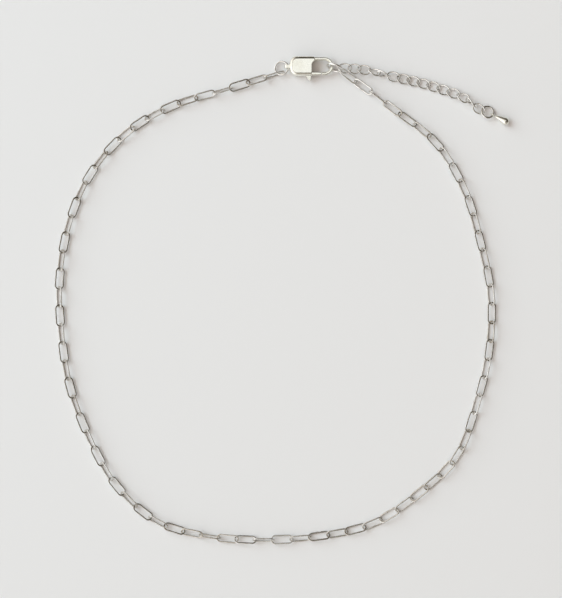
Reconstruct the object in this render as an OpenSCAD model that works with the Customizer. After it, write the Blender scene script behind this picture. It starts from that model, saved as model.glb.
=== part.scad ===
// Chain choker lying on a table: a loop of long oval links, a lobster clasp, a short curb-link
// extender and a small drop at its end. Millimetres, +Z up, the table is z = 0.
// The loop lies in the XY plane, its clasp at +Y. The extender runs from the clasp toward +X.

/* [Chain] */
// Number of long oval links in the loop
link_count = 76; // [76:1:76]
// Wire diameter of a long link
link_wire = 0.45; // [0.40:0.01:0.46]
// Outside width of a long link
link_width = 2.65; // [2.60:0.01:2.70]
// Outside length of a long link
link_length = 6.35; // [6.30:0.01:6.40]

/* [Clasp] */
// Thickness of the clasp from the table up
clasp_height = 3.0; // [2.8:0.1:3.2]
// Width of the clasp's body
clasp_width = 5.5; // [5.3:0.1:5.6]
// Length of the clasp's body, without hook and tail loop
body_length = 6.9; // [6.6:0.1:7.2]
// Thickness of the round hook
hook_stock = 1.0; // [0.9:0.05:1.05]
// Height of the slot that holds the gate
slot_height = 1.25; // [1.2:0.05:1.4]
// Thickness of the gate
gate_height = 1.0; // [0.9:0.05:1.05]
// Diameter of the gate's pivot pin
pin_d = 0.8; // [0.76:0.01:0.82]
// Diameter of the hole in the gate
gate_bore_d = 0.96; // [0.94:0.01:1.0]

/* [Rings] */
// Outside diameter of the ring between the clasp's tail and the chain
tail_ring_d = 4.25; // [4.2:0.05:4.3]
// Wire diameter of the tail ring
tail_ring_wire = 0.55; // [0.5:0.01:0.56]
// Outside diameter of the ring the clasp hooks into
closure_ring_d = 5.0; // [4.95:0.05:5.05]
// Wire diameter of the closure ring
closure_ring_wire = 0.6; // [0.5:0.01:0.62]
// Outside diameter of the ring at the end of the extender
end_ring_d = 4.05; // [4.0:0.05:4.1]
// Wire diameter of the end ring
end_ring_wire = 0.65; // [0.6:0.01:0.68]

/* [Extender] */
// Wire diameter of an extender link
curb_wire = 0.45; // [0.40:0.01:0.46]
// Outside length of an extender link
curb_length = 4.15; // [4.10:0.01:4.20]
// Outside width of an extender link
curb_width = 3.0; // [2.95:0.01:3.05]
// Twist of each end of an extender link
curb_twist = 33; // [31:1:35]

/* [Drop] */
// Radius of the drop's round end
drop_r = 1.1; // [1.0:0.05:1.1]
// Distance from the drop's eye to the middle of its round end
drop_reach = 3.8; // [3.6:0.1:4.0]
// Radius of the drop's neck
drop_neck_r = 0.33; // [0.28:0.01:0.35]

/* [Hidden] */
$fn = 24;
little = 0.01;

// The chain's course: the middle of every third link, round the loop from the clasp's tail
links_per_knot = 3;
chain_knots = [
  [-2.15, 62.88], [-16.5, 58.5], [-31, 54], [-43.5, 46.5], [-53.5, 35], [-59.5, 21], [-62, 6],
  [-61.5, -9.5], [-59, -24.5], [-53.5, -39], [-46, -52], [-34.5, -62], [-20, -66], [-5, -67],
  [10.5, -66], [25.5, -62.5], [38.5, -54], [49, -43.5], [54.5, -29], [58, -14], [58.5, 1.5],
  [55.5, 16.5], [51, 31], [43, 44], [31, 53.5], [18.66, 62.55]];
// How the links lean: first link, last link, lean of odd links, lean of even links.
// A positive lean raises the left side of the way round.
link_leans = [
  [1, 1, -80, 0], [2, 2, 0, 38], [3, 3, -20, 0], [4, 4, 0, 65], [5, 5, -40, 0], [6, 6, 0, 34],
  [7, 7, -22, 0], [8, 8, 0, 45], [9, 9, -20, 0], [10, 10, 0, 35], [11, 11, -22, 0],
  [12, 34, -20, 50], [35, 35, -36, 0], [36, 36, 0, 34], [37, 37, -80, 0], [38, 38, 0, 20],
  [39, 39, -38, 0], [40, 40, 0, 65], [41, 41, -15, 0], [42, 42, 0, 45], [43, 43, -32, 0],
  [44, 51, -28, 28], [52, 52, 0, 34], [53, 71, -50, 20], [72, 72, 0, 33], [73, 73, -40, 0],
  [74, 74, 0, 80], [75, 75, -40, 0], [76, 76, 0, 40]];
// A link hangs this much lower than the neighbour that holds it up
link_drop = 0.1;
// The last link is held up by the closure ring
last_link_lift = 0.43;
last_link_rise = 8.5;
link_bend = (link_width - link_wire) / 2;

// Clasp: everything is measured from the middle of the hook's bend
clasp_at = [12.05, 65.25, 0];
clasp_mid = clasp_height / 2;
hook_r = 2.05;
eye_r = hook_r - hook_stock / 2;
eye_shift = 2.1;
body_right = -2.9;
body_left = body_right - body_length;
body_tail_corner = 2.1;
body_front_corner = 0.7;
edge_r = 0.9;
gate_gap = 0.12;
jaw_left = -3.65;
neck_left = -3.5;
hook_tip = -0.4;
pivot_at = [-4.6, -1.25];
gate_reach = 3.6;
gate_hub_r = 0.95;
gate_arm_low = -2.55;
gate_arm_high = -1.55;
gate_nub = [[-5.3, -1.6], [-5.3, -2.7], [-4.3, -4.0], [-3.9, -4.0], [-3.75, -2.7], [-3.75, -1.6]];
slot_r = 1.1;
slot_left = -5.45;
slot_low = -3;
tail_hole_d = 1.1;
tail_loop_r = 0.86;
tail_loop_w = 1.0;
tail_hole_at = [-10.4, -0.1];

// Where the rings lie and how they are turned
tail_ring_at = [0.02, 64.78, 1.07];
tail_ring_turn = [0, -14.5, -19.5];
closure_ring_turn = [75, 0, -19.5];
closure_ring_bend = (closure_ring_d - closure_ring_wire) / 2;
closure_ring_at = [14.9, 64.71, closure_ring_bend * sin(closure_ring_turn[0]) + closure_ring_wire / 2];
end_ring_at = [57.6, 52.5, 0.91];
end_ring_turn = [0, 20, 60];

// The extender's course: the middle of every second link, from the closure ring
curbs_per_knot = 2;
curb_knots = [
  [17.64, 64.52], [23, 64.25], [28.5, 63], [34.1, 61.75], [39.6, 60.5], [45.2, 58.75],
  [50.7, 56.6], [55.2, 53.3]];
// Each extender link's height of middle and lean
curb_poses = [
  [2.48, 0], [1.9, 0], [1.4, -10], [1.4, -50], [1.5, -105], [1.05, -170], [0.7, -180], [0.62, -180],
  [0.6, -180], [0.6, -180], [0.65, -180], [0.8, -185], [1.1, -205], [1.5, -270], [1.2, -335]];
curb_stations = 16;
curb_sides = 6;
curb_a = (curb_length - curb_wire) / 2;
curb_b = (curb_width - curb_wire) / 2;

// The drop hangs from the end ring by its own eye
drop_eye_hole_d = 1.1;
drop_eye_wire = 0.35;
drop_eye_r = (drop_eye_hole_d + drop_eye_wire) / 2;
drop_at = [59.15, 51.68, 0.92];
drop_heading = -27;
drop_rise = 2.9;

steel = [0.80, 0.79, 0.77];
bright = [0.90, 0.89, 0.87];

// A smooth curve through knots: t counts knots
function knot(p, k) =
  k < 0 ? 2 * p[0] - p[1] : k < len(p) ? p[k] : 2 * p[len(p) - 1] - p[len(p) - 2];
function between(a, b, c, d, u) =
  (2 * b + (c - a) * u + (2 * a - 5 * b + 4 * c - d) * u * u + (3 * b - a - 3 * c + d) * u * u * u) / 2;
function route(p, t) =
  let (k = max(0, min(floor(t), len(p) - 2)))
  between(knot(p, k - 1), knot(p, k), knot(p, k + 1), knot(p, k + 2), t - k);
function heading(p, t, reach) =
  let (d = route(p, t + reach) - route(p, t - reach))
  atan2(d[1], d[0]);

// A link's lean, and its height: high enough for itself and for the neighbours it carries
function link_lean(i) =
  [for (row = link_leans) if (i >= row[0] && i <= row[1]) i % 2 == 1 ? row[2] : row[3]][0];
function link_need(i) =
  i < 1 || i > link_count ? 0 : link_bend * abs(sin(link_lean(i)));
function link_height(i) =
  link_wire / 2 + max(link_need(i), link_need(i - 1) - link_drop, link_need(i + 1) - link_drop);

function curb_height(i) = curb_poses[max(0, min(i, len(curb_poses) - 1))][0];
function curb_spot(i) = route(curb_knots, i / curbs_per_knot);
function curb_rise(i) =
  let (a = max(0, i - 1), b = min(i + 1, len(curb_poses) - 1))
  atan2(curb_height(b) - curb_height(a), norm(curb_spot(b) - curb_spot(a)));

// The middle line of a twisted oval link
function curb_line(t) =
  let (w = curb_twist * cos(t))
  [curb_a * cos(t), curb_b * sin(t) * cos(w), curb_b * sin(t) * sin(w)];
function unit(v) = v / norm(v);
function curb_point(t, around) =
  let (w = curb_twist * cos(t), along = unit(curb_line(t + 1) - curb_line(t - 1)),
    out = unit(cross([0, -sin(w), cos(w)], along)), up = cross(along, out))
  curb_line(t) + curb_wire / 2 * (cos(around) * out + sin(around) * up);

// A flat oval of round wire
module wire_oval(length, width, wire) {
  bend = (width - wire) / 2;
  straight = length - width;
  for (side = [0, 180])
    rotate([0, 0, side]) {
      translate([straight / 2, 0, 0])
        rotate([0, 0, -90])
          rotate_extrude(angle = 180)
            translate([bend, 0])
              circle(d = wire);
      translate([-straight / 2, bend, 0])
        rotate([0, 90, 0])
          cylinder(h = straight, d = wire);
    }
}

// A round ring of round wire, by its outside diameter
module wire_ring(outside, wire) {
  rotate_extrude()
    translate([(outside - wire) / 2, 0])
      circle(d = wire);
}

module chain() {
  color(steel)
    for (i = [1 : link_count])
      let (t = (i - 1) / links_per_knot, at = route(chain_knots, t), last = i == link_count ? 1 : 0)
        translate([at[0], at[1], link_height(i) + last * last_link_lift])
          rotate([0, -last * last_link_rise, heading(chain_knots, t, 0.5 / links_per_knot)])
            rotate([link_lean(i), 0, 0])
              wire_oval(link_length, link_width, link_wire);
}

module tail_ring() {
  color(steel)
    translate(tail_ring_at)
      rotate(tail_ring_turn)
        wire_ring(tail_ring_d, tail_ring_wire);
}

// The body seen from above, square but for one small corner at the front
module body_plan() {
  half = clasp_width / 2;
  translate([body_left, -half])
    square([body_length - body_front_corner, clasp_width]);
  translate([body_left, -half])
    square([body_length, clasp_width - body_front_corner]);
  translate([body_right - body_front_corner, half - body_front_corner])
    circle(r = body_front_corner);
}

// A rectangle with four round corners, from its lower left corner
module round_box(length, width, r) {
  translate([r, 0])
    square([length - 2 * r, width]);
  translate([0, r])
    square([length, width - 2 * r]);
  for (x = [r, length - r])
    for (y = [r, width - r])
      translate([x, y])
        circle(r = r);
}

// A rectangle with round corners at its right end only
module round_end(length, width, r) {
  square([length - r, width]);
  translate([0, r])
    square([length, width - 2 * r]);
  for (y = [r, width - r])
    translate([length - r, y])
      circle(r = r);
}

// The body before it is cut: its edges are rounded all the way round its tail
module body_block() {
  tail_middle = body_left + body_tail_corner;
  side_middle = clasp_width / 2 - body_tail_corner;
  intersection() {
    union() {
      translate([tail_middle, -clasp_width / 2, 0])
        rotate([90, 0, 90])
          linear_extrude(height = body_right - tail_middle)
            round_box(clasp_width, clasp_height, edge_r);
      translate([tail_middle, -side_middle, 0])
        rotate([90, 0, 180])
          linear_extrude(height = 2 * side_middle)
            round_end(body_tail_corner, clasp_height, edge_r);
      for (side = [1, -1])
        translate([tail_middle, side * side_middle, 0])
          rotate([0, 0, 135 - side * 45])
            rotate_extrude(angle = 90, $fn = 48)
              round_end(body_tail_corner, clasp_height, edge_r);
    }
    linear_extrude(height = clasp_height)
      body_plan();
  }
}

// The opening behind the hook, as a long round-ended hole
module eye_hole() {
  for (x = [-eye_shift, 0])
    translate([x, 0, -little])
      cylinder(h = clasp_height + 2 * little, r = eye_r, $fn = 48);
  translate([-eye_shift, -eye_r, -little])
    cube([eye_shift, 2 * eye_r, clasp_height + 2 * little]);
}

// Room for the gate inside the body, open below and to the front
module gate_slot() {
  translate([0, 0, clasp_mid - slot_height / 2]) {
    translate([pivot_at[0], pivot_at[1], 0])
      cylinder(h = slot_height, r = slot_r);
    translate([slot_left, slot_low, 0])
      cube([-slot_left, pivot_at[1] - slot_low, slot_height]);
    translate([pivot_at[0], slot_low, 0])
      cube([-pivot_at[0], pivot_at[1] + slot_r - slot_low, slot_height]);
  }
}

module hook() {
  translate([0, 0, clasp_mid]) {
    rotate([0, 0, -90])
      rotate_extrude(angle = 180, $fn = 48)
        translate([hook_r, 0])
          circle(d = hook_stock);
    translate([neck_left, hook_r, 0])
      rotate([0, 90, 0])
        cylinder(h = -neck_left, d = hook_stock);
    difference() {
      translate([2 * hook_tip, -hook_r, 0])
        rotate([0, 90, 0])
          cylinder(h = -2 * hook_tip, d = hook_stock);
      translate([pivot_at[0], pivot_at[1], -hook_stock])
        cylinder(h = 2 * hook_stock, r = gate_reach + gate_gap, $fn = 48);
    }
  }
}

// The loop at the tail that holds the tail ring
module tail_loop() {
  translate([tail_hole_at[0], tail_hole_at[1] + tail_loop_w / 2, clasp_mid])
    rotate([90, 0, 0])
      difference() {
        union() {
          cylinder(h = tail_loop_w, r = tail_loop_r);
          translate([0, -tail_loop_r, 0])
            cube([body_left - tail_hole_at[0] + edge_r, 2 * tail_loop_r, tail_loop_w]);
        }
        translate([0, 0, -little])
          cylinder(h = tail_loop_w + 2 * little, d = tail_hole_d);
      }
}

module clasp_body() {
  color(bright)
    translate(clasp_at) {
      difference() {
        body_block();
        eye_hole();
        translate([jaw_left, -clasp_width, -little])
          cube([clasp_width, clasp_width, clasp_height + 2 * little]);
        gate_slot();
      }
      hook();
      tail_loop();
      translate([pivot_at[0], pivot_at[1], clasp_mid - slot_height])
        cylinder(h = 2 * slot_height, d = pin_d);
    }
}

// The gate seen from above: hub, arm along the lower side, thumb nub below
module gate_plan() {
  difference() {
    union() {
      translate(pivot_at)
        circle(r = gate_hub_r);
      intersection() {
        translate([pivot_at[0], gate_arm_low])
          square([gate_reach, gate_arm_high - gate_arm_low]);
        translate(pivot_at)
          circle(r = gate_reach, $fn = 48);
      }
      polygon(gate_nub);
    }
    translate(pivot_at)
      circle(d = gate_bore_d);
  }
}

module clasp_lever() {
  color(bright)
    translate(clasp_at)
      translate([0, 0, clasp_mid - gate_height / 2])
        linear_extrude(height = gate_height)
          gate_plan();
}

module closure_ring() {
  color(steel)
    translate(closure_ring_at)
      rotate(closure_ring_turn)
        wire_ring(closure_ring_d, closure_ring_wire);
}

// One twisted oval link as a sweep of a six-sided wire
module curb_link() {
  points = [
    for (i = [0 : curb_stations - 1])
      for (j = [0 : curb_sides - 1])
        curb_point(i * 360 / curb_stations, j * 360 / curb_sides)];
  faces = [
    for (i = [0 : curb_stations - 1])
      for (j = [0 : curb_sides - 1])
        let (here = i * curb_sides, next = (i + 1) % curb_stations * curb_sides, k = (j + 1) % curb_sides)
          for (face = [[here + j, next + j, next + k], [here + j, next + k, here + k]])
            face];
  polyhedron(points = points, faces = faces, convexity = 4);
}

module extender_link(number) {
  i = number - 1;
  spot = curb_spot(i);
  color(steel)
    translate([spot[0], spot[1], curb_height(i)])
      rotate([0, 0, heading(curb_knots, i / curbs_per_knot, 0.5 / curbs_per_knot)])
        rotate([0, -curb_rise(i), 0])
          rotate([curb_poses[i][1], 0, 0])
            curb_link();
}

module end_ring() {
  color(steel)
    translate(end_ring_at)
      rotate(end_ring_turn)
        wire_ring(end_ring_d, end_ring_wire);
}

// The drop: an upright eye, then a cone that runs smoothly into a round end
module end_drop() {
  slope = asin((drop_r - drop_neck_r) / (drop_reach - drop_eye_r));
  color(bright)
    translate(drop_at)
      rotate([0, -drop_rise, drop_heading]) {
        rotate([90, 0, 0])
          rotate_extrude()
            translate([drop_eye_r, 0])
              circle(d = drop_eye_wire);
        rotate([0, 90, 0]) {
          rotate_extrude($fn = 48)
            polygon([[0, drop_eye_r], [drop_neck_r, drop_eye_r],
              [drop_r * cos(slope), drop_reach - drop_r * sin(slope)],
              [0, drop_reach - drop_r * sin(slope)]]);
          translate([0, 0, drop_reach])
            sphere(r = drop_r, $fn = 48);
        }
      }
}

chain();
tail_ring();
clasp_body();
clasp_lever();
closure_ring();
extender_link(1);  // extender_link_01
extender_link(2);  // extender_link_02
extender_link(3);  // extender_link_03
extender_link(4);  // extender_link_04
extender_link(5);  // extender_link_05
extender_link(6);  // extender_link_06
extender_link(7);  // extender_link_07
extender_link(8);  // extender_link_08
extender_link(9);  // extender_link_09
extender_link(10);  // extender_link_10
extender_link(11);  // extender_link_11
extender_link(12);  // extender_link_12
extender_link(13);  // extender_link_13
extender_link(14);  // extender_link_14
extender_link(15);  // extender_link_15
end_ring();
end_drop();
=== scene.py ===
"""Looks of a silver chain choker that lies on a table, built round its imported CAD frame.

The frame says where every link, every ring and the clasp lies. The pieces made here are finer than
its solids and keep their form: drawn and soldered wire, a cast clasp with softened edges, a turned
drop. Lengths are in metres, and MM turns millimetres into metres. Places less than NEAR apart count
as one height or one side when edges are picked. Corners less than WELD apart become one, and on
wire those less than WIRE_WELD of its thickness apart.
"""

import logging
import math
import random
from collections.abc import Callable, Iterator, Sequence
from contextlib import contextmanager
from dataclasses import dataclass
from enum import Enum

import bmesh
import bpy
import numpy as np
from mathutils import Matrix, Vector

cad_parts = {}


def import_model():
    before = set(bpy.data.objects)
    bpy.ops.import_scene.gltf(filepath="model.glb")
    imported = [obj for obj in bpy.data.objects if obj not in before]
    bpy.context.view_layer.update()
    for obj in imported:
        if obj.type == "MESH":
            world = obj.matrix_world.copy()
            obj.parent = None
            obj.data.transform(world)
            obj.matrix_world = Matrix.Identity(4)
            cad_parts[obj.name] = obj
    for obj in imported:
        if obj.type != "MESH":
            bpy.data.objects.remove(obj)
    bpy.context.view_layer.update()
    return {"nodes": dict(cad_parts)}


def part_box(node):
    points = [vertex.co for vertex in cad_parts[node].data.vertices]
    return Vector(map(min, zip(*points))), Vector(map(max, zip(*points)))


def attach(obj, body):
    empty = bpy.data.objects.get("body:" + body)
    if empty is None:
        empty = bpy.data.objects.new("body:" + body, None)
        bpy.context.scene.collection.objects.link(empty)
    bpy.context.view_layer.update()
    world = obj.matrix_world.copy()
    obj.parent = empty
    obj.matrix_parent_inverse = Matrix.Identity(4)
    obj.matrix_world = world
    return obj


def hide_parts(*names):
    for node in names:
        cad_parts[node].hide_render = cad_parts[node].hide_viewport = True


MM = 0.001
NEAR = 0.01 * MM
WELD = 0.001 * MM
WIRE_WELD = 0.02
LEVEL_TOLERANCE = 1e-6
POST_SIDES = 64
NOISE_DETAIL = 4.0
NOISE_ROUGHNESS = 0.6
SHUFFLE_SEED = 7
CHOKER_BODY = "choker"
GATE_BODY = "gate"
ALONG_WIRE = "along_wire"
SOLDER = "solder"
RUBBED = "rubbed"
LOT = "lot"

Object = bpy.types.Object
Tree = bpy.types.NodeTree
Socket = bpy.types.NodeSocket
Inputs = dict[str | int, object]
Range = tuple[float, float]

log = logging.getLogger("chain_choker")


class PatternSpace(Enum):
    """What a surface pattern follows."""

    WIRE = "runs along the wire"
    SOLID = "stays in the solid"


class Slot(Enum):
    """Names of the material slots."""

    CHAIN = "chain_wire"
    RING = "ring_wire"
    CLASP = "clasp_metal"
    DROP = "drop_metal"


def linear(colour: str) -> tuple[float, float, float, float]:
    """Turns an sRGB hex colour into linear light.

    Args:
        colour: Six hex digits after a hash sign.

    Returns:
        Red, green, blue and a full alpha.
    """
    parts = [int(colour[i : i + 2], 16) / 255 for i in (1, 3, 5)]
    return (*[c / 12.92 if c <= 0.04045 else ((c + 0.055) / 1.055) ** 2.4 for c in parts], 1.0)


def add_node(tree: Tree, kind: str, inputs: Inputs | None = None, **settings: object) -> bpy.types.Node:
    """Adds a node with its settings and what goes into it.

    Args:
        tree: The node tree.
        kind: The node's Blender type.
        inputs: For a socket's name or number, a value or the socket that feeds it.
        **settings: The node's own properties.

    Returns:
        The new node.
    """
    node = tree.nodes.new(kind)
    for name, value in settings.items():
        setattr(node, name, value)
    for socket, value in (inputs or {}).items():
        if isinstance(value, Socket):
            tree.links.new(value, node.inputs[socket])
        else:
            node.inputs[socket].default_value = value
    return node


def empty_tree(owner: bpy.types.Material | bpy.types.World) -> Tree:
    """Gives a material or the world an empty node tree."""
    owner.use_nodes = True
    owner.node_tree.nodes.clear()
    return owner.node_tree


def show_surface(tree: Tree, inputs: Inputs) -> None:
    """Gives a material's tree its one shader, with what goes into it."""
    shader = add_node(tree, "ShaderNodeBsdfPrincipled", inputs)
    add_node(tree, "ShaderNodeOutputMaterial", {"Surface": shader.outputs["BSDF"]})


def stored(tree: Tree, name: str, output: str = "Fac") -> Socket:
    """Reads what is stored on the mesh under a name."""
    return add_node(tree, "ShaderNodeAttribute", attribute_name=name).outputs[output]


def noise(tree: Tree, where: Socket, scale: float) -> Socket:
    """Gives a fine-grained noise with about scale patches to each unit of where."""
    inputs = {"Vector": where, "Scale": scale, "Detail": NOISE_DETAIL, "Roughness": NOISE_ROUGHNESS}
    return add_node(tree, "ShaderNodeTexNoise", inputs).outputs["Fac"]


def spread(tree: Tree, value: Socket, span: Range, onto: Range = (0.0, 1.0)) -> Socket:
    """Spreads a value's range over another range, and holds it there.

    Args:
        tree: The node tree.
        value: The value.
        span: The range that it comes from.
        onto: The range that it goes to.

    Returns:
        The spread value.
    """
    inputs = {"Value": value, "From Min": span[0], "From Max": span[1], "To Min": onto[0], "To Max": onto[1]}
    return add_node(tree, "ShaderNodeMapRange", inputs).outputs["Result"]


def sum_of(tree: Tree, value: Socket, share: float, rest: Socket) -> Socket:
    """Adds a share of a value to the rest, and holds the sum from 0 to 1.

    Args:
        tree: The node tree.
        value: The value.
        share: The share of it that is added.
        rest: What it is added to.

    Returns:
        The sum.
    """
    inputs = {0: value, 1: share, 2: rest}
    node = add_node(tree, "ShaderNodeMath", inputs, operation="MULTIPLY_ADD", use_clamp=True)
    return node.outputs["Value"]


def mixed(tree: Tree, share: Socket, first: object, second: object) -> Socket:
    """Mixes two colours.

    Args:
        tree: The node tree.
        share: The share of the second colour.
        first: A colour, or the socket that gives it.
        second: The other colour, in the same way.

    Returns:
        The mixed colour.
    """
    # Sockets for colours and for numbers have the same names in this node, so they go by number.
    inputs = {0: share, 6: first, 7: second}
    return add_node(tree, "ShaderNodeMix", inputs, data_type="RGBA").outputs[2]


def towards(tree: Tree, way: Socket, side: Sequence[float]) -> Socket:
    """Says how far each direction points to a side, from -1 to 1."""
    node = add_node(tree, "ShaderNodeVectorMath", {0: way, 1: side}, operation="DOT_PRODUCT")
    return node.outputs["Value"]


def take(*objects: Object) -> None:
    """Selects these objects alone, and makes the first one active."""
    bpy.ops.object.select_all(action="DESELECT")
    for obj in objects:
        obj.select_set(True)
    bpy.context.view_layer.objects.active = objects[0]


@contextmanager
def editing(obj: Object) -> Iterator[None]:
    """Holds obj in edit mode, with all of it selected at the start."""
    take(obj)
    bpy.ops.object.mode_set(mode="EDIT")
    bpy.ops.mesh.select_all(action="SELECT")
    yield
    bpy.ops.object.mode_set(mode="OBJECT")


def pick(obj: Object, rule: Callable[[Vector], bool]) -> None:
    """Selects, in edit mode, the vertices whose place fits a rule, and the edges and faces between them.

    Args:
        obj: The object in edit mode.
        rule: Says of a vertex's place whether it is picked.
    """
    bpy.ops.mesh.select_mode(type="VERT")
    bpy.ops.mesh.select_all(action="DESELECT")
    mesh = bmesh.from_edit_mesh(obj.data)
    for vert in mesh.verts:
        if rule(vert.co):
            vert.select = True
    mesh.select_flush(True)
    bmesh.update_edit_mesh(obj.data)


def pick_edges(obj: Object, rule: Callable[[Vector, Vector], bool]) -> None:
    """Selects, in edit mode, the edges that fit a rule.

    Args:
        obj: The object in edit mode.
        rule: Says of the places of an edge's two ends whether it is picked.
    """
    bpy.ops.mesh.select_mode(type="EDGE")
    bpy.ops.mesh.select_all(action="DESELECT")
    mesh = bmesh.from_edit_mesh(obj.data)
    for edge in mesh.edges:
        edge.select = rule(edge.verts[0].co, edge.verts[1].co)
    bmesh.update_edit_mesh(obj.data)


def planish(bar: Object, middle: float, reach: float) -> None:
    """Flattens a bar's cross-section, in edit mode, above and below, and leaves all of it selected.

    Args:
        bar: The cross-section, in edit mode.
        middle: Height of its middle.
        reach: How far it may stand out from there.
    """
    for side in (1, -1):
        pick(bar, lambda co: (co.z - middle) * side > reach)
        bpy.ops.transform.resize(value=(1, 1, 0), center_override=(0, 0, middle + side * reach))
    bpy.ops.mesh.select_all(action="SELECT")


def draw_out(x: float, y: float = 0.0) -> None:
    """Extrudes, in edit mode, what is selected by this much along X and Y."""
    bpy.ops.mesh.extrude_region_move(TRANSFORM_OT_translate={"value": (x, y, 0)})


def close_up(distance: float) -> None:
    """Welds and closes the whole mesh, in edit mode, and turns its faces outward.

    Args:
        distance: Corners closer than this become one.
    """
    bpy.ops.mesh.select_all(action="SELECT")
    bpy.ops.mesh.remove_doubles(threshold=distance)
    bpy.ops.mesh.fill_holes(sides=0)
    bpy.ops.mesh.normals_make_consistent(inside=False)


def new_mesh(name: str) -> Object:
    """Names the primitive that was just added, and applies its place.

    Args:
        name: The object's and the mesh's name.

    Returns:
        The active object, at the origin, unturned and unscaled.
    """
    obj = bpy.context.active_object
    obj.name = obj.data.name = name
    bpy.ops.object.transform_apply(location=True, rotation=True, scale=True)
    return obj


def apply_modifier(obj: Object, kind: str, **settings: object) -> None:
    """Adds a modifier with its settings and applies it.

    Args:
        obj: The object to change.
        kind: The modifier's Blender type.
        **settings: The modifier's own properties.
    """
    take(obj)
    modifier = obj.modifiers.new(kind.lower(), kind)
    for name, value in settings.items():
        setattr(modifier, name, value)
    bpy.ops.object.modifier_apply(modifier=modifier.name)


def combine(obj: Object, operation: str, *parts: Object) -> Object:
    """Adds closed parts to obj, cuts them out of it or keeps what it shares with them, and removes them.

    Args:
        obj: The object that is changed.
        operation: UNION, DIFFERENCE or INTERSECT.
        *parts: Closed meshes.

    Returns:
        The changed object.
    """
    for part in parts:
        apply_modifier(obj, "BOOLEAN", operation=operation, solver="EXACT", object=part)
        bpy.data.objects.remove(part)
    return obj


def smooth(obj: Object) -> Object:
    """Shades obj smooth."""
    take(obj)
    bpy.ops.object.shade_smooth()
    return obj


def joined(parts: Sequence[Object]) -> Object:
    """Joins meshes into the first of them, which a single mesh already is."""
    take(*parts)
    if len(parts) > 1:
        bpy.ops.object.join()
    return parts[0]


def fuse(parts: Sequence[Object], grain: float, rounds: int) -> Object:
    """Casts overlapping closed parts as one skin, with fillets where they meet and softened edges.

    Args:
        parts: Closed meshes; the first keeps its name.
        grain: Edge length of the new skin's faces.
        rounds: How often the skin is smoothed, as by tumbling.

    Returns:
        The first part, now all of them.
    """
    whole = joined(parts)
    apply_modifier(whole, "REMESH", mode="VOXEL", voxel_size=grain, adaptivity=0.0)
    apply_modifier(whole, "SMOOTH", factor=0.5, iterations=rounds)
    return smooth(whole)


def turned(at: Vector, along: Vector, up: Vector) -> Matrix:
    """A place: where, with X along the piece and Z out of its flat side.

    Args:
        at: The piece's middle.
        along: Its long direction.
        up: The direction out of its flat side, square to along.

    Returns:
        The matrix that takes a flat piece at the origin there.
    """
    side = up.cross(along)
    turn = Matrix((along, side, up)).transposed()
    return Matrix.Translation(at) @ turn.to_4x4()


def block(name: str, low: Sequence[float], high: Sequence[float]) -> Object:
    """Models a block.

    Args:
        name: The object's name.
        low: Its lowest corner.
        high: Its highest corner.

    Returns:
        The block.
    """
    low, high = Vector(low), Vector(high)
    bpy.ops.mesh.primitive_cube_add(size=1, location=(low + high) / 2, scale=high - low)
    return new_mesh(name)


def post(
    name: str, middle: Sequence[float], radius: float, length: float, turn: Sequence[float] = (0, 0, 0)
) -> Object:
    """Models a round post.

    Args:
        name: The object's name.
        middle: The post's middle.
        radius: Its radius.
        length: Its length.
        turn: Its turn from upright, as angles about X, Y and Z.

    Returns:
        The post.
    """
    bpy.ops.mesh.primitive_cylinder_add(
        vertices=POST_SIDES, radius=radius, depth=length, location=middle, rotation=turn
    )
    return new_mesh(name)


def section(name: str, sides: int, radius: float, middle: Sequence[float]) -> Object:
    """Models a bar's round cross-section, square to X.

    Args:
        name: The object's name.
        sides: How many corners it has.
        radius: Its radius.
        middle: Its middle.

    Returns:
        The open round.
    """
    upright = (0, math.pi / 2, 0)
    bpy.ops.mesh.primitive_circle_add(vertices=sides, radius=radius, location=middle, rotation=upright)
    return new_mesh(name)


def place_of(part: Object, is_round: bool) -> Matrix:
    """Reads a loop's place from the spread of its surface: narrowest across its plane, widest along it.

    Args:
        part: A mesh of one link or ring.
        is_round: True for a ring, which has no long direction of its own.

    Returns:
        The matrix that takes a flat loop at the origin there.
    """
    mesh = part.data
    mesh.calc_loop_triangles()
    corners = np.array([[mesh.vertices[i].co for i in t.vertices] for t in mesh.loop_triangles], float)
    areas = np.linalg.norm(np.cross(corners[:, 1] - corners[:, 0], corners[:, 2] - corners[:, 0]), axis=1) / 2
    middle = (areas[:, None] * corners.mean(1)).sum(0) / areas.sum()
    arms = corners - middle
    sums = arms.sum(1)
    # A triangle's second moment is a twelfth of its area times the products of its corners and of their sum.
    moment = np.einsum("n,nij,nik->jk", areas / 12, arms, arms)
    moment += np.einsum("n,nj,nk->jk", areas / 12, sums, sums)
    axes = np.linalg.eigh(moment)[1]
    up, along = Vector(axes[:, 0]), Vector(axes[:, 2])
    if up.z < 0:
        up.negate()
    if is_round:
        level = Vector((0, 0, 1)).cross(up)
        along = level.normalized() if level.length > LEVEL_TOLERANCE else Vector((1, 0, 0))
    return turned(Vector(middle), along, up)


def loose_places(node: Object, is_round: bool = False) -> list[Matrix]:
    """Reads where each loose solid of a CAD node lies. The node itself is left alone.

    Args:
        node: The CAD node's object.
        is_round: True where the solids are rings.

    Returns:
        A place for each solid, in order round the middle of the loop, from the clasp.
    """
    copy = bpy.data.objects.new("loose_part", node.data.copy())
    bpy.context.scene.collection.objects.link(copy)
    with editing(copy):
        bpy.ops.mesh.remove_doubles(threshold=WELD / 2)
        bpy.ops.mesh.separate(type="LOOSE")
    parts = list(bpy.context.selected_objects)
    places = [place_of(part, is_round) for part in parts]
    for part in parts:
        bpy.data.objects.remove(part)
    return sorted(places, key=lambda m: math.atan2(-m.translation.x, m.translation.y) % math.tau)


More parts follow.
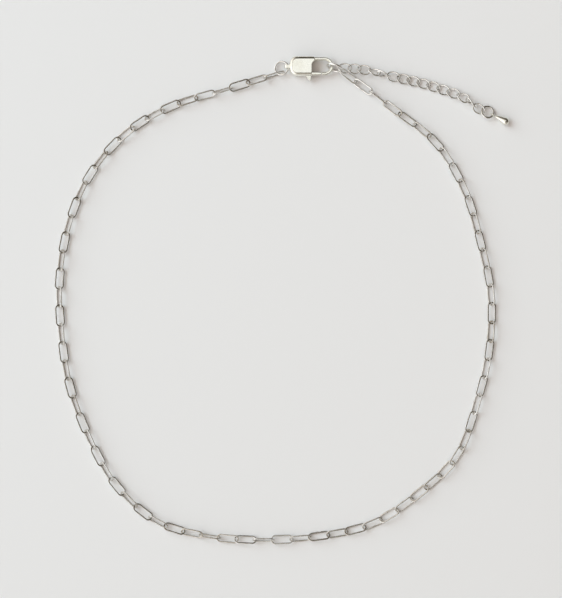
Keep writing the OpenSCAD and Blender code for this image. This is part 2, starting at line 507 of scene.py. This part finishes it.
def store(obj: Object, name: str, values: np.ndarray) -> None:
    """Stores a number or a vector for each vertex.

    Args:
        obj: The mesh object.
        name: The attribute's name.
        values: One row for each vertex.
    """
    is_vector = values.ndim == 2
    layer = obj.data.attributes.new(name, "FLOAT_VECTOR" if is_vector else "FLOAT", "POINT")
    layer.data.foreach_set("vector" if is_vector else "value", values.astype(np.float32).ravel())


@dataclass(frozen=True)
class WireLoop:
    """A closed loop of wire that lies flat: two half circles and the straights between them.

    Attributes:
        wire: Thickness of the wire.
        bend: Bend radius of its middle line.
        straight: Length of each straight.
        sides: Faces round the wire.
        bend_steps: Faces along each half circle.
        flat: How deep the two faces of the loop are planished; none on round wire.
        solder_half: Half the length of the solder joint.
        solder_swell: How much thicker the wire is at the joint.
        solder_fade: How far the joint's colour reaches, in halves of its length.
    """

    wire: float
    bend: float
    straight: float = 0.0
    sides: int = 14
    bend_steps: int = 14
    flat: float = 0.0
    solder_half: float = 0.16 * MM
    solder_swell: float = 1.06
    solder_fade: float = 1.5

    def build(self, name: str) -> Object:
        """Models the loop: a cross-section, drawn along the straights and spun round the bends.

        Args:
            name: The loop's name.

        Returns:
            The flat loop at the origin, long side along X.
        """
        loop = section(name, self.sides, self.wire / 2, (-self.straight / 2, self.bend, 0))
        with editing(loop):
            planish(loop, 0, self.wire / 2 - self.flat)
            for side in (1, -1):
                if self.straight:
                    self.draw_straight(side)
                centre = (side * self.straight / 2, 0, 0)
                bpy.ops.mesh.spin(steps=self.bend_steps, angle=math.pi, center=centre, axis=(0, 0, 1))
            close_up(WIRE_WELD * self.wire)
        self.mark(loop)
        return smooth(loop)

    def draw_straight(self, side: int) -> None:
        """Draws the open end along a straight, over the solder joint in the middle of the first one.

        Args:
            side: 1 for the straight that runs to +X, -1 for the one that runs back.
        """
        half = self.straight / 2
        stops = [-half, -half / 2, -self.solder_half, 0, self.solder_half, half / 2, half]
        for start, stop in zip(stops, stops[1:]):
            draw_out(side * (stop - start))
            if side == 1 and stop == 0:
                self.swell(0, self.solder_swell)
            if side == 1 and stop == self.solder_half:
                self.swell(self.solder_half, 1 / self.solder_swell)

    def swell(self, x: float, factor: float) -> None:
        """Scales the open end, which is at x on the first straight."""
        bpy.ops.transform.resize(value=(1, factor, factor), center_override=(x, self.bend, 0))

    def mark(self, loop: Object) -> None:
        """Stores where each vertex is across and along the wire, how near the solder, and how rubbed.

        Args:
            loop: The flat loop at the origin.
        """
        co = np.array([v.co for v in loop.data.vertices], float)
        core = np.clip(co[:, 0], -self.straight / 2, self.straight / 2)
        side = np.where(co[:, 1] >= 0, 1.0, -1.0)
        outward = np.hypot(co[:, 0] - core, co[:, 1]) - self.bend
        run = side * (core + self.bend * np.arctan2(co[:, 0] - core, np.abs(co[:, 1])))
        at_end = np.clip((np.abs(co[:, 0]) - self.straight / 2) / self.bend, 0, 1)
        inner = np.clip(0.5 - outward / self.wire, 0, 1)
        store(loop, ALONG_WIRE, np.stack([outward, co[:, 2], run], 1))
        from_joint = co[:, 0] / (self.solder_fade * self.solder_half)
        store(loop, SOLDER, np.exp(-(from_joint**2)) * (side > 0))
        store(loop, RUBBED, at_end**3 * inner)


@dataclass(frozen=True)
class CurbLoop:
    """An oval link of round wire whose two ends are twisted against each other.

    Attributes:
        wire: Thickness of the wire.
        length: Outer length.
        width: Outer width before it is twisted.
        twist_deg: How far each end is turned from the middle, in degrees.
        section_detail: Fineness of the wire's cross-section.
        quarter_steps: Faces along each quarter of the oval.
    """

    wire: float = 0.45 * MM
    length: float = 4.15 * MM
    width: float = 3.0 * MM
    twist_deg: float = 33.0
    section_detail: int = 4
    quarter_steps: int = 12

    def build(self, name: str) -> Object:
        """Models the link: a round curve drawn out to an oval, thickened to wire and twisted.

        Args:
            name: The link's name.

        Returns:
            The link at the origin, long side along X.
        """
        half_long = (self.length - self.wire) / 2
        half_wide = (self.width - self.wire) / 2
        bpy.ops.curve.primitive_bezier_circle_add(radius=1)
        curve = bpy.context.active_object
        bpy.ops.object.mode_set(mode="EDIT")
        bpy.ops.curve.select_all(action="SELECT")
        bpy.ops.transform.resize(value=(half_long, half_wide, 1), center_override=(0, 0, 0))
        bpy.ops.object.mode_set(mode="OBJECT")
        curve.data.bevel_depth = self.wire / 2
        curve.data.bevel_resolution = self.section_detail
        curve.data.resolution_u = self.quarter_steps
        take(curve)
        bpy.ops.object.convert(target="MESH")
        link = new_mesh(name)
        with editing(link):
            close_up(WIRE_WELD * self.wire)
        WireLoop(self.wire, half_wide, 2 * (half_long - half_wide)).mark(link)
        ends = self.length / (2 * half_long)
        turn = 2 * math.radians(self.twist_deg) * ends
        apply_modifier(link, "SIMPLE_DEFORM", deform_method="TWIST", deform_axis="X", angle=turn)
        return smooth(link)


def strew(loop: Object, places: Sequence[Matrix], name: str, shuffle: random.Random) -> Object:
    """Copies a flat loop to its places and joins the copies; the loop itself is removed.

    Args:
        loop: The flat loop at the origin.
        places: Where the copies go.
        name: The joined piece's name.
        shuffle: Turns each copy over at random, so that the solder joints lie on all sides.

    Returns:
        The piece, one mesh with its place in its vertices.
    """
    copies = []
    for place in places:
        copy = loop.copy()
        copy.data = loop.data.copy()
        bpy.context.scene.collection.objects.link(copy)
        flips = Matrix.Rotation(shuffle.choice((0, math.pi)), 4, "X")
        flips @= Matrix.Rotation(shuffle.choice((0, math.pi)), 4, "Z")
        copy.data.transform(place @ flips)
        store(copy, LOT, np.full(len(copy.data.vertices), shuffle.random()))
        copies.append(copy)
    bpy.data.objects.remove(loop)
    piece = joined(copies)
    piece.name = piece.data.name = name
    return piece


@dataclass(frozen=True)
class SilverFinish:
    """Sterling silver with the marks of how the piece was made.

    Attributes:
        name: What the metal is and how its surface was made.
        silver: Colour of the clean metal.
        film: Colour where a thin film of tarnish lies, and of the painted shade on some links.
        joint: Colour of the solder.
        low_gloss: Roughness of the best polished places.
        high_gloss: Roughness of the dullest places.
        lot_gloss: How much rougher the dullest link is than the best one.
        marks: Size of the surface marks in each direction of the pattern's space.
        depth: Depth of the marks.
        cloud: Size of the patches of film.
        space: What the marks follow.
        marks_range: Where the marks' noise starts and ends to change the gloss.
        cloud_range: Where the patches' noise starts and ends to lay film.
        cloud_film: Share of film in the middle of a patch.
        lot_film_and_shade: How much more of it lies on the greyest link: partly tarnish, partly painted shade
            for the darker room that tilted links mirror.
        rubbed_film: How much more of it lies inside a bend.
        joint_gloss: How much rougher the solder is.
    """

    name: str
    silver: str
    film: str
    joint: str
    low_gloss: float
    high_gloss: float
    lot_gloss: float
    marks: tuple[float, float, float]
    depth: float
    cloud: float
    space: PatternSpace
    marks_range: Range = (0.3, 0.7)
    cloud_range: Range = (0.4, 0.75)
    cloud_film: float = 0.5
    # Extra film on the greyest link: partly tarnish, partly painted shade for the darker room that tilted
    # links mirror.
    lot_film_and_shade: float = 0.35
    rubbed_film: float = 0.4
    joint_gloss: float = 0.1

    def material(self) -> bpy.types.Material:
        """Makes the finish as a node material.

        Returns:
            The material.
        """
        material = bpy.data.materials.new(self.name)
        tree = empty_tree(material)
        solid = add_node(tree, "ShaderNodeTexCoord").outputs["Object"]
        runs = solid
        if self.space is PatternSpace.WIRE:
            runs = stored(tree, ALONG_WIRE, "Vector")
        inputs = {"Vector": runs, "Scale": tuple(1 / size for size in self.marks)}
        marks = noise(tree, add_node(tree, "ShaderNodeMapping", inputs).outputs["Vector"], 1.0)
        clouds = noise(tree, solid, 1 / self.cloud)
        solder = stored(tree, SOLDER)
        colour = mixed(tree, self.film_and_shade_share(tree, clouds), linear(self.silver), linear(self.film))
        colour = mixed(tree, solder, colour, linear(self.joint))
        gloss = spread(tree, marks, self.marks_range, (self.low_gloss, self.high_gloss))
        gloss = sum_of(tree, solder, self.joint_gloss, gloss)
        gloss = sum_of(tree, stored(tree, LOT), self.lot_gloss, gloss)
        bump = add_node(tree, "ShaderNodeBump", {"Height": marks, "Distance": self.depth}).outputs["Normal"]
        inputs = {"Base Color": colour, "Metallic": 1.0, "Roughness": gloss, "Normal": bump}
        show_surface(tree, inputs)
        return material

    def film_and_shade_share(self, tree: Tree, clouds: Socket) -> Socket:
        """Says how much tarnish film and painted shade lie at each point: film in clouds and in the bends,
        and more on some links, partly as painted shade.

        Args:
            tree: The node tree.
            clouds: The noise of the film's patches.

        Returns:
            A share from 0 to 1.
        """
        patches = spread(tree, clouds, self.cloud_range, (0.0, self.cloud_film))
        # More film on some links: partly tarnish, partly painted shade for the darker room that tilted links
        # mirror.
        with_lot = sum_of(tree, stored(tree, LOT), self.lot_film_and_shade, patches)
        return sum_of(tree, stored(tree, RUBBED), self.rubbed_film, with_lot)


# Sterling wire, drawn through a die, bent, soldered and tumbled in steel shot. To the eye each link is
# a bright line with a dark edge, faintly streaked along the wire, greyer in some links and in the
# bends, with a duller spot at the joint. The extra grey on some links is partly tarnish and partly
# painted shade, which stands in for the darker room that tilted links mirror. Draw marks a few
# microns wide are drawn 0.05 mm wide to show.
TUMBLED_WIRE = SilverFinish(
    "drawn_tumbled_sterling_silver",
    silver="#F4F3F0",
    film="#A99F90",
    joint="#D2CFC8",
    low_gloss=0.05,
    high_gloss=0.14,
    lot_gloss=0.16,
    marks=(0.05 * MM, 0.05 * MM, 0.6 * MM),
    depth=0.002 * MM,
    cloud=3 * MM,
    space=PatternSpace.WIRE,
)

# The same wire, polished once more after soldering. To the eye the rings and the extender are whiter
# and softer than the long links, with hardly any film. Their draw marks are coarsened to 0.06 mm.
POLISHED_WIRE = SilverFinish(
    "drawn_polished_sterling_silver",
    silver="#F7F6F4",
    film="#DAD6CE",
    joint="#DCD9D2",
    low_gloss=0.12,
    high_gloss=0.24,
    lot_gloss=0.06,
    marks=(0.06 * MM, 0.06 * MM, 0.8 * MM),
    depth=0.002 * MM,
    cloud=3 * MM,
    space=PatternSpace.WIRE,
)

# Cast sterling, buffed lengthwise on a wheel. To the eye the clasp's face is one soft, even white that
# darkens over the round edges, with hair-fine lines along it, which are coarsened to 0.06 mm.
BUFFED_CASTING = SilverFinish(
    "cast_buffed_sterling_silver",
    silver="#F3F2EA",
    film="#E2DECF",
    joint="#D2CFC8",
    low_gloss=0.18,
    high_gloss=0.28,
    lot_gloss=0.0,
    marks=(1.2 * MM, 0.06 * MM, 0.06 * MM),
    depth=0.002 * MM,
    cloud=4 * MM,
    space=PatternSpace.SOLID,
)


def dress(piece: Object, material: bpy.types.Material, slot: Slot, body: str, *nodes: str) -> None:
    """Gives a finished piece its material and its body, and lets it stand for its CAD nodes.

    Args:
        piece: The finished piece.
        material: Its material.
        slot: The slot that it takes its finish from; not used.
        body: The CAD body that it rides on.
        *nodes: The CAD nodes that it replaces.
    """
    piece.data.materials.clear()
    piece.data.materials.append(material)
    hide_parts(*nodes)
    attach(piece, body)
    log.info("%s: %d faces on %s", piece.name, len(piece.data.polygons), body)


@dataclass
class Chain:
    """The loop of long oval links, each one drawn wire bent round, soldered and tumbled.

    Attributes:
        node: The chain's CAD node.
        shuffle: Turns the links over at random.
        wire: Thickness of the wire.
        length: A link's outer length.
        width: A link's outer width.
        flat: How deep the links' two faces are planished.
    """

    node: Object
    shuffle: random.Random
    wire: float = 0.45 * MM
    length: float = 6.35 * MM
    width: float = 2.65 * MM
    flat: float = 0.05 * MM

    def build(self) -> Object:
        """Models one link and copies it to where each link of the frame lies."""
        bend = (self.width - self.wire) / 2
        link = WireLoop(self.wire, bend, self.length - self.width, sides=20, bend_steps=12, flat=self.flat)
        return strew(link.build("long_link"), loose_places(self.node), "chain_links", self.shuffle)


@dataclass
class Ring:
    """A round jump ring of drawn wire, soldered shut.

    Attributes:
        node: The ring's CAD node.
        shuffle: Turns the ring over at random.
        outside: Its outer diameter.
        wire: Thickness of the wire.
    """

    node: Object
    shuffle: random.Random
    outside: float
    wire: float

    def build(self) -> Object:
        """Models the ring where the frame's ring lies."""
        loop = WireLoop(self.wire, (self.outside - self.wire) / 2, sides=18, bend_steps=24)
        ring = loop.build("flat_ring")
        places = loose_places(self.node, is_round=True)
        return strew(ring, places, self.node.name + "_wire", self.shuffle)


@dataclass
class Extender:
    """The short chain of twisted oval links that the clasp may hook into.

    Attributes:
        nodes: The links' CAD nodes.
        shuffle: Turns the links over at random.
        link: The link that all of them are.
    """

    nodes: Sequence[Object]
    shuffle: random.Random
    link: CurbLoop = CurbLoop()

    def build(self) -> list[Object]:
        """Models each link where the frame's link lies."""
        return [
            strew(self.link.build("curb_link"), loose_places(node), node.name + "_wire", self.shuffle)
            for node in self.nodes
        ]


@dataclass
class Clasp:
    """A cast lobster clasp. Its own middle is the middle of the hook's bend, on the table.

    Attributes:
        at: Where its own middle lies.
        height: The body's height.
        width: The body's width.
        length: The body's length.
        front: The body's front end.
        tail_corner: Radius of the two upright corners at the tail.
        front_corner: Radius of the corner where the front meets the hook's side.
        edge: Radius of the body's long edges.
        hook_bend: Bend radius of the hook's middle line.
        hook_stock: Thickness of the hook's bar.
        hook_flat: How deep the hook's two faces are planished.
        hook_neck: How far back its bar reaches into the body.
        hook_tip: How far its tip goes back from the bend.
        hook_sides: Faces round the hook.
        hook_steps: Faces along its bend.
        eye_shift: How far the eye is drawn out into the body.
        jaw_left: Where the open jaw starts.
        pivot: The pin's place.
        pin: The pin's radius.
        slot_height: Height of the gate's slot.
        slot_round: Radius of the slot round the hub.
        slot_left: Where the nub's slot starts.
        loop_at: Middle of the tail loop.
        loop_round: Radius of its round end.
        loop_hole: Radius of its hole.
        loop_width: Its width.
        gate_height: The gate's height.
        gate_hub: Radius of its hub.
        gate_bore: Radius of its bore.
        gate_reach: Length of its arm from the pin.
        gate_arm: Where the arm's two sides lie.
        gate_edge: Radius of the arm's long edges.
        nub: Where the nub's two sides start.
        nub_tip: Where they end.
        nub_bend: Where the nub starts to narrow.
        nub_low: Its lowest place.
        nub_thin: Share of its height that its tip has.
        skin: Face size of the shell's skin, and how often it is smoothed.
        gate_skin: The same for the gate.
    """

    at: Vector
    height: float = 3.0 * MM
    width: float = 5.5 * MM
    length: float = 6.9 * MM
    front: float = -2.9 * MM
    tail_corner: float = 2.1 * MM
    front_corner: float = 0.7 * MM
    edge: float = 0.9 * MM
    hook_bend: float = 2.05 * MM
    hook_stock: float = 1.0 * MM
    hook_flat: float = 0.06 * MM
    hook_neck: float = -3.5 * MM
    hook_tip: float = -0.8 * MM
    hook_sides: int = 32
    hook_steps: int = 40
    eye_shift: float = 2.1 * MM
    jaw_left: float = -3.65 * MM
    pivot: tuple[float, float] = (-4.6 * MM, -1.25 * MM)
    pin: float = 0.4 * MM
    slot_height: float = 1.25 * MM
    slot_round: float = 1.1 * MM
    slot_left: float = -5.45 * MM
    loop_at: tuple[float, float] = (-10.4 * MM, -0.1 * MM)
    loop_round: float = 0.86 * MM
    loop_hole: float = 0.55 * MM
    loop_width: float = 1.0 * MM
    gate_height: float = 1.0 * MM
    gate_hub: float = 0.95 * MM
    gate_bore: float = 0.48 * MM
    gate_reach: float = 3.6 * MM
    gate_arm: tuple[float, float] = (-2.55 * MM, -1.55 * MM)
    gate_edge: float = 0.3 * MM
    nub: tuple[float, float] = (-5.3 * MM, -3.75 * MM)
    nub_tip: tuple[float, float] = (-4.3 * MM, -3.9 * MM)
    nub_bend: float = -2.7 * MM
    nub_low: float = -4.0 * MM
    nub_thin: float = 0.8
    skin: tuple[float, int] = (0.05 * MM, 8)
    gate_skin: tuple[float, int] = (0.035 * MM, 10)

    @property
    def middle(self) -> float:
        """Half the clasp's height, where hook, slot and gate lie."""
        return self.height / 2

    def shell(self) -> Object:
        """Models the clasp's body with hook, tail loop and pin as one casting.

        Returns:
            The casting at its place.
        """
        body = self.body()
        pin = post("pin", (*self.pivot, self.middle), self.pin, 2 * self.slot_height)
        return self.placed(fuse([body, self.hook(), self.tail_loop(), pin], *self.skin), "clasp_shell")

    def body(self) -> Object:
        """Models the body: a block with round corners and edges, cut for the eye, the jaw and the gate."""
        left, half = self.front - self.length, self.width / 2
        body = block("body", (left, -half, 0), (self.front, half, self.height))
        with editing(body):
            pick_edges(body, lambda a, b: max(a.x, b.x) < left + NEAR and abs(a.z - b.z) > NEAR)
            bpy.ops.mesh.bevel(offset=self.tail_corner, segments=14, affect="EDGES")
            pick_edges(body, lambda a, b: min(a.x, b.x) < self.front - NEAR and abs(a.z - b.z) < NEAR)
            bpy.ops.mesh.bevel(offset=self.edge, segments=10, affect="EDGES")
        front = block("front", (left - half, -self.width, -self.height), (self.front, half, 2 * self.height))
        with editing(front):
            pick_edges(front, lambda a, b: min(a.x, b.x) > self.front - NEAR and min(a.y, b.y) > 0)
            bpy.ops.mesh.bevel(offset=self.front_corner, segments=6, affect="EDGES")
        combine(body, "INTERSECT", front)
        eye = post("eye", (0, 0, self.middle), self.hook_bend - self.hook_stock / 2, 2 * self.height)
        with editing(eye):
            pick(eye, lambda co: co.x < -NEAR)
            bpy.ops.transform.translate(value=(-self.eye_shift, 0, 0))
        reach = 2 * self.width
        jaw = block("jaw", (self.jaw_left, -reach, -reach), (reach, 0, reach))
        low, high = self.middle - self.slot_height / 2, self.middle + self.slot_height / 2
        hub = post("slot_hub", (*self.pivot, self.middle), self.slot_round, self.slot_height)
        below = block("slot_below", (self.slot_left, -reach, low), (reach, self.pivot[1], high))
        top = self.pivot[1] + self.slot_round
        ahead = block("slot_ahead", (self.pivot[0], -reach, low), (reach, top, high))
        return combine(body, "DIFFERENCE", eye, jaw, hub, below, ahead)

    def hook(self) -> Object:
        """Models the hook: a round bar, planished on both faces and bent through half a turn to its tip."""
        hook = section("hook", self.hook_sides, self.hook_stock / 2, (0, self.hook_bend, self.middle))
        with editing(hook):
            planish(hook, self.middle, self.hook_stock / 2 - self.hook_flat)
            draw_out(self.hook_neck)
            pick(hook, lambda co: co.x > self.hook_neck / 2)
            centre = (0, 0, self.middle)
            bpy.ops.mesh.spin(steps=self.hook_steps, angle=math.pi, center=centre, axis=(0, 0, 1))
            draw_out(self.hook_tip)
            close_up(WELD)
        return hook

    def tail_loop(self) -> Object:
        """Models the loop at the tail, a short bar with a round end and a hole across it."""
        x, y = self.loop_at
        across = (math.pi / 2, 0, 0)
        half = self.loop_width / 2
        low, high = self.middle - self.loop_round, self.middle + self.loop_round
        loop = post("tail_loop", (x, y, self.middle), self.loop_round, self.loop_width, across)
        root = self.front - self.length + self.edge
        bar = block("tail_bar", (x, y - half, low), (root, y + half, high))
        hole = post("tail_hole", (x, y, self.middle), self.loop_hole, 3 * self.loop_width, across)
        return combine(combine(loop, "UNION", bar), "DIFFERENCE", hole)

    def gate(self) -> Object:
        """Models the gate: a hub on the pin, an arm that closes the hook, and a nub for the thumb.

        Returns:
            The gate at its place, closed.
        """
        x, y = self.pivot
        low, high = self.middle - self.gate_height / 2, self.middle + self.gate_height / 2
        hub = post("gate_hub", (x, y, self.middle), self.gate_hub, self.gate_height)
        arm = block("gate_arm", (x, self.gate_arm[0], low), (x + self.gate_reach, self.gate_arm[1], high))
        with editing(arm):
            pick_edges(arm, lambda a, b: abs(a.x - b.x) > NEAR)
            bpy.ops.mesh.bevel(offset=self.gate_edge, segments=6, affect="EDGES")
        nub = block("gate_nub", (self.nub[0], self.nub_bend, low), (self.nub[1], self.gate_arm[1], high))
        with editing(nub):
            pick(nub, lambda co: co.y < self.nub_bend + NEAR)
            drop = self.nub_low - self.nub_bend
            draw_out(0, drop)
            narrow = (self.nub_tip[1] - self.nub_tip[0]) / (self.nub[1] - self.nub[0])
            middle = (sum(self.nub) / 2, self.nub_low, self.middle)
            bpy.ops.transform.resize(value=(narrow, 1, self.nub_thin), center_override=middle)
            bpy.ops.transform.translate(value=(sum(self.nub_tip) / 2 - middle[0], 0, 0))
        bore = post("gate_bore", (x, y, self.middle), self.gate_bore, 2 * self.gate_height)
        combine(combine(hub, "UNION", arm, nub), "DIFFERENCE", bore)
        return self.placed(fuse([hub], *self.gate_skin), "clasp_gate")

    def placed(self, piece: Object, name: str) -> Object:
        """Moves a piece's mesh from the clasp's own middle to its place, and names it."""
        piece.data.transform(Matrix.Translation(self.at))
        piece.name = piece.data.name = name
        return piece


@dataclass
class Drop:
    """A small turned and buffed drop: an upright eye, and a cone that runs into a round end.

    Attributes:
        at: Middle of its eye.
        heading_deg: Where it points to on the table, in degrees from X.
        rise_deg: How much it rises to its round end, in degrees.
        ball: Radius of its round end.
        reach: From the eye's middle to the round end's middle.
        neck: Radius where the cone meets the eye.
        eye_wire: Thickness of the eye.
        eye_bend: Bend radius of the eye's middle line.
        skin: Face size of its skin, and how often it is smoothed.
    """

    at: tuple[float, float, float] = (59.15 * MM, 51.68 * MM, 0.92 * MM)
    heading_deg: float = -27.0
    rise_deg: float = 2.9
    ball: float = 1.1 * MM
    reach: float = 3.8 * MM
    neck: float = 0.33 * MM
    eye_wire: float = 0.35 * MM
    eye_bend: float = 0.725 * MM
    skin: tuple[float, int] = (0.04 * MM, 6)

    def build(self) -> Object:
        """Models the drop along X from its eye's middle and lays it at its place.

        Returns:
            The drop.
        """
        slope = math.asin((self.ball - self.neck) / (self.reach - self.eye_bend))
        lying = (0, math.pi / 2, 0)
        bpy.ops.mesh.primitive_uv_sphere_add(
            segments=48, ring_count=32, radius=self.ball, location=(self.reach, 0, 0), rotation=lying
        )
        drop = new_mesh("end_drop_turned")
        rim = self.reach - self.ball * math.sin(slope)
        with editing(drop):
            bpy.ops.mesh.bisect(plane_co=(rim, 0, 0), plane_no=(1, 0, 0), clear_inner=True)
            pick(drop, lambda co: co.x < rim + WELD)
            draw_out(self.eye_bend - rim)
            thin = self.neck / (self.ball * math.cos(slope))
            bpy.ops.transform.resize(value=(1, thin, thin), center_override=(self.eye_bend, 0, 0))
            close_up(WELD)
        eye = WireLoop(self.eye_wire, self.eye_bend, sides=16, bend_steps=20).build("drop_eye")
        eye.data.transform(Matrix.Rotation(math.pi / 2, 4, "X"))
        whole = fuse([drop, eye], *self.skin)
        turn = Matrix.Rotation(math.radians(self.heading_deg), 4, "Z")
        turn @= Matrix.Rotation(-math.radians(self.rise_deg), 4, "Y")
        whole.data.transform(Matrix.Translation(self.at) @ turn)
        return whole


@dataclass(frozen=True)
class Patch:
    """A soft round patch of the room that the metal mirrors.

    Attributes:
        at: Direction of its middle.
        edge: Where it starts, as the cosine of the angle from its middle.
        full: Where it has its full colour, in the same way.
        tone: Its colour.
    """

    at: tuple[float, float, float]
    edge: float
    full: float
    tone: str


@dataclass(frozen=True)
class Lamp:
    """A soft square lamp that looks at the loop's middle.

    Attributes:
        name: Its name.
        at: Its place.
        size: Its side.
        watts: Its power.
        colour: Its colour.
    """

    name: str
    at: tuple[float, float, float]
    size: float
    watts: float
    colour: str

    def hang(self) -> None:
        """Hangs the lamp. It lights the floor, and the metal mirrors the room and not the lamp."""
        data = bpy.data.lights.new(self.name, "AREA")
        data.shape, data.size, data.energy = "SQUARE", self.size, self.watts
        data.color = linear(self.colour)[:3]
        lamp = bpy.data.objects.new(self.name, data)
        lamp.location = self.at
        lamp.visible_glossy = False
        lamp.rotation_mode = "QUATERNION"
        lamp.rotation_quaternion = (-Vector(self.at)).to_track_quat("-Z", "Y")
        bpy.context.scene.collection.objects.link(lamp)


@dataclass
class Studio:
    """A plain pale floor, soft light from the upper left, and the camera straight above as in the photo.

    Attributes:
        pixel: What a pixel of the photo covers on the floor.
        picture: The photo's width and height in pixels.
        traced_middle: The pixel that lies at the frame's origin.
        lens: The camera's focal length, in millimetres of its own.
        sensor: The camera's sensor width, in the same.
        floor_size: Side of the floor.
        bright_side: Where the room is bright, as the metal mirrors it.
        tones: The room's colour by how far a direction points to the bright side.
        patches: What hangs in the room: a grey wall in front on the right, and the pale canopy overhead.
        brightness: The room's strength.
        lamps: A cool window at the upper left and a warm canopy overhead, which make the shadows warm.
        drop_below: How far the floor lies under the table's plane.
        board: The floor's colour.
        board_gloss: Its roughness.
        tooth: Size of its grain.
        tooth_depth: Depth of its grain.
    """

    pixel: float = 0.28 * MM
    picture: tuple[int, int] = (562, 598)
    traced_middle: tuple[float, float] = (281.5, 300.0)
    lens: float = 100.0
    sensor: float = 36.0
    floor_size: float = 4.0
    bright_side: tuple[float, float, float] = (-0.93, -0.2, -0.08)
    tones: tuple[tuple[float, str], ...] = (
        (-0.2, "#3A342C"),
        (-0.05, "#4A443B"),
        (0.1, "#918B83"),
        (0.25, "#CAC5BE"),
        (0.5, "#ECEAE8"),
        (0.9, "#FFFFFF"),
    )
    patches: tuple[Patch, ...] = (
        Patch((0.58, -0.76, 0.3), 0.78, 0.93, "#85817B"),
        Patch((0.0, 0.12, 0.993), 0.955, 0.985, "#E4E5E3"),
    )
    brightness: float = 1.5
    lamps: tuple[Lamp, ...] = (
        Lamp("window", (-1.55, 0.75, 1.05), 1.8, 38.0, "#DCF1FC"),
        Lamp("white_canopy", (0.0, 0.0, 1.3), 2.0, 5.0, "#FFDCC5"),
    )
    drop_below: float = 0.01 * MM
    board: str = "#E2E2E2"
    board_gloss: float = 0.9
    tooth: float = 0.4 * MM
    tooth_depth: float = 0.01 * MM

    def build(self) -> None:
        """Sets floor, sky, lamps and camera."""
        self.floor()
        self.sky()
        for lamp in self.lamps:
            lamp.hang()
        self.camera()
        bpy.context.scene.view_settings.view_transform = "Standard"

    def floor(self) -> None:
        """Lays the floor, a plain matt board just under the part."""
        # Primed board: to the eye an even pale grey. Its tooth of a tenth of a millimetre is drawn
        # four times as wide to show.
        bpy.ops.mesh.primitive_plane_add(size=self.floor_size, location=(0, 0, -self.drop_below))
        board = new_mesh("floor")
        material = bpy.data.materials.new("matt_pale_board")
        tree = empty_tree(material)
        solid = add_node(tree, "ShaderNodeTexCoord").outputs["Object"]
        grain = noise(tree, solid, 1 / self.tooth)
        inputs = {"Height": grain, "Distance": self.tooth_depth}
        bump = add_node(tree, "ShaderNodeBump", inputs).outputs["Normal"]
        inputs = {"Base Color": linear(self.board), "Roughness": self.board_gloss, "Normal": bump}
        show_surface(tree, inputs)
        board.data.materials.append(material)

    def sky(self) -> None:
        """Sets the room: bright on the left, warm and dim on the right, a pale patch overhead."""
        world = bpy.data.worlds.new("room")
        bpy.context.scene.world = world
        tree = empty_tree(world)
        way = add_node(tree, "ShaderNodeTexCoord").outputs["Generated"]
        side = spread(tree, towards(tree, way, self.bright_side), (-1.0, 1.0))
        ramp = add_node(tree, "ShaderNodeValToRGB", {"Fac": side})
        stops = ramp.color_ramp.elements
        for _ in self.tones[2:]:
            stops.new(1.0)
        for stop, (share, tone) in zip(stops, self.tones):
            stop.position, stop.color = (share + 1) / 2, linear(tone)
        room = ramp.outputs["Color"]
        for patch in self.patches:
            nearness = towards(tree, way, patch.at)
            share = spread(tree, nearness, (patch.edge, patch.full))
            room = mixed(tree, share, room, linear(patch.tone))
        back = add_node(tree, "ShaderNodeBackground", {"Color": room, "Strength": self.brightness})
        add_node(tree, "ShaderNodeOutputWorld", {"Surface": back.outputs["Background"]})

    def camera(self) -> None:
        """Hangs the camera straight over the loop, so far up that a picture pixel covers its real size."""
        data = bpy.data.cameras.new("camera")
        data.lens, data.sensor_width = self.lens, self.sensor
        camera = bpy.data.objects.new("camera", data)
        wide, tall = self.picture
        x = (wide / 2 - self.traced_middle[0]) * self.pixel
        y = (self.traced_middle[1] - tall / 2) * self.pixel
        camera.location = (x, y, max(wide, tall) * self.pixel * self.lens / self.sensor)
        bpy.context.scene.collection.objects.link(camera)
        bpy.context.scene.camera = camera


def main() -> None:
    """Builds the choker's pieces, dresses them and sets the studio."""
    logging.basicConfig(level=logging.INFO, format="%(name)s: %(message)s")
    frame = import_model()
    nodes = frame["nodes"]
    shuffle = random.Random(SHUFFLE_SEED)
    tumbled, polished, buffed = TUMBLED_WIRE.material(), POLISHED_WIRE.material(), BUFFED_CASTING.material()
    dress(Chain(nodes["chain"], shuffle).build(), tumbled, Slot.CHAIN, CHOKER_BODY, "chain")
    # Each ring's outer diameter and the thickness of its wire, in millimetres.
    rings = (("tail_ring", 4.25, 0.55), ("closure_ring", 5.0, 0.6), ("end_ring", 4.05, 0.65))
    for name, outside, thickness in rings:
        ring = Ring(nodes[name], shuffle, outside * MM, thickness * MM).build()
        dress(ring, polished, Slot.RING, CHOKER_BODY, name)
    link_names = sorted(name for name in nodes if name.startswith("extender_link_"))
    extender = Extender([nodes[name] for name in link_names], shuffle)
    for name, link in zip(link_names, extender.build()):
        dress(link, polished, Slot.RING, CHOKER_BODY, name)
    # The outside of the hook's bend touches the right side of the clasp's box.
    low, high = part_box("clasp_body")
    clasp = Clasp(Vector((0, (low.y + high.y) / 2, 0)))
    clasp.at.x = high.x - clasp.hook_bend - clasp.hook_stock / 2
    dress(clasp.shell(), buffed, Slot.CLASP, CHOKER_BODY, "clasp_body")
    dress(clasp.gate(), buffed, Slot.CLASP, GATE_BODY, "clasp_lever")
    dress(Drop().build(), buffed, Slot.DROP, CHOKER_BODY, "end_drop")
    Studio().build()


if __name__ == "__main__":
    main()
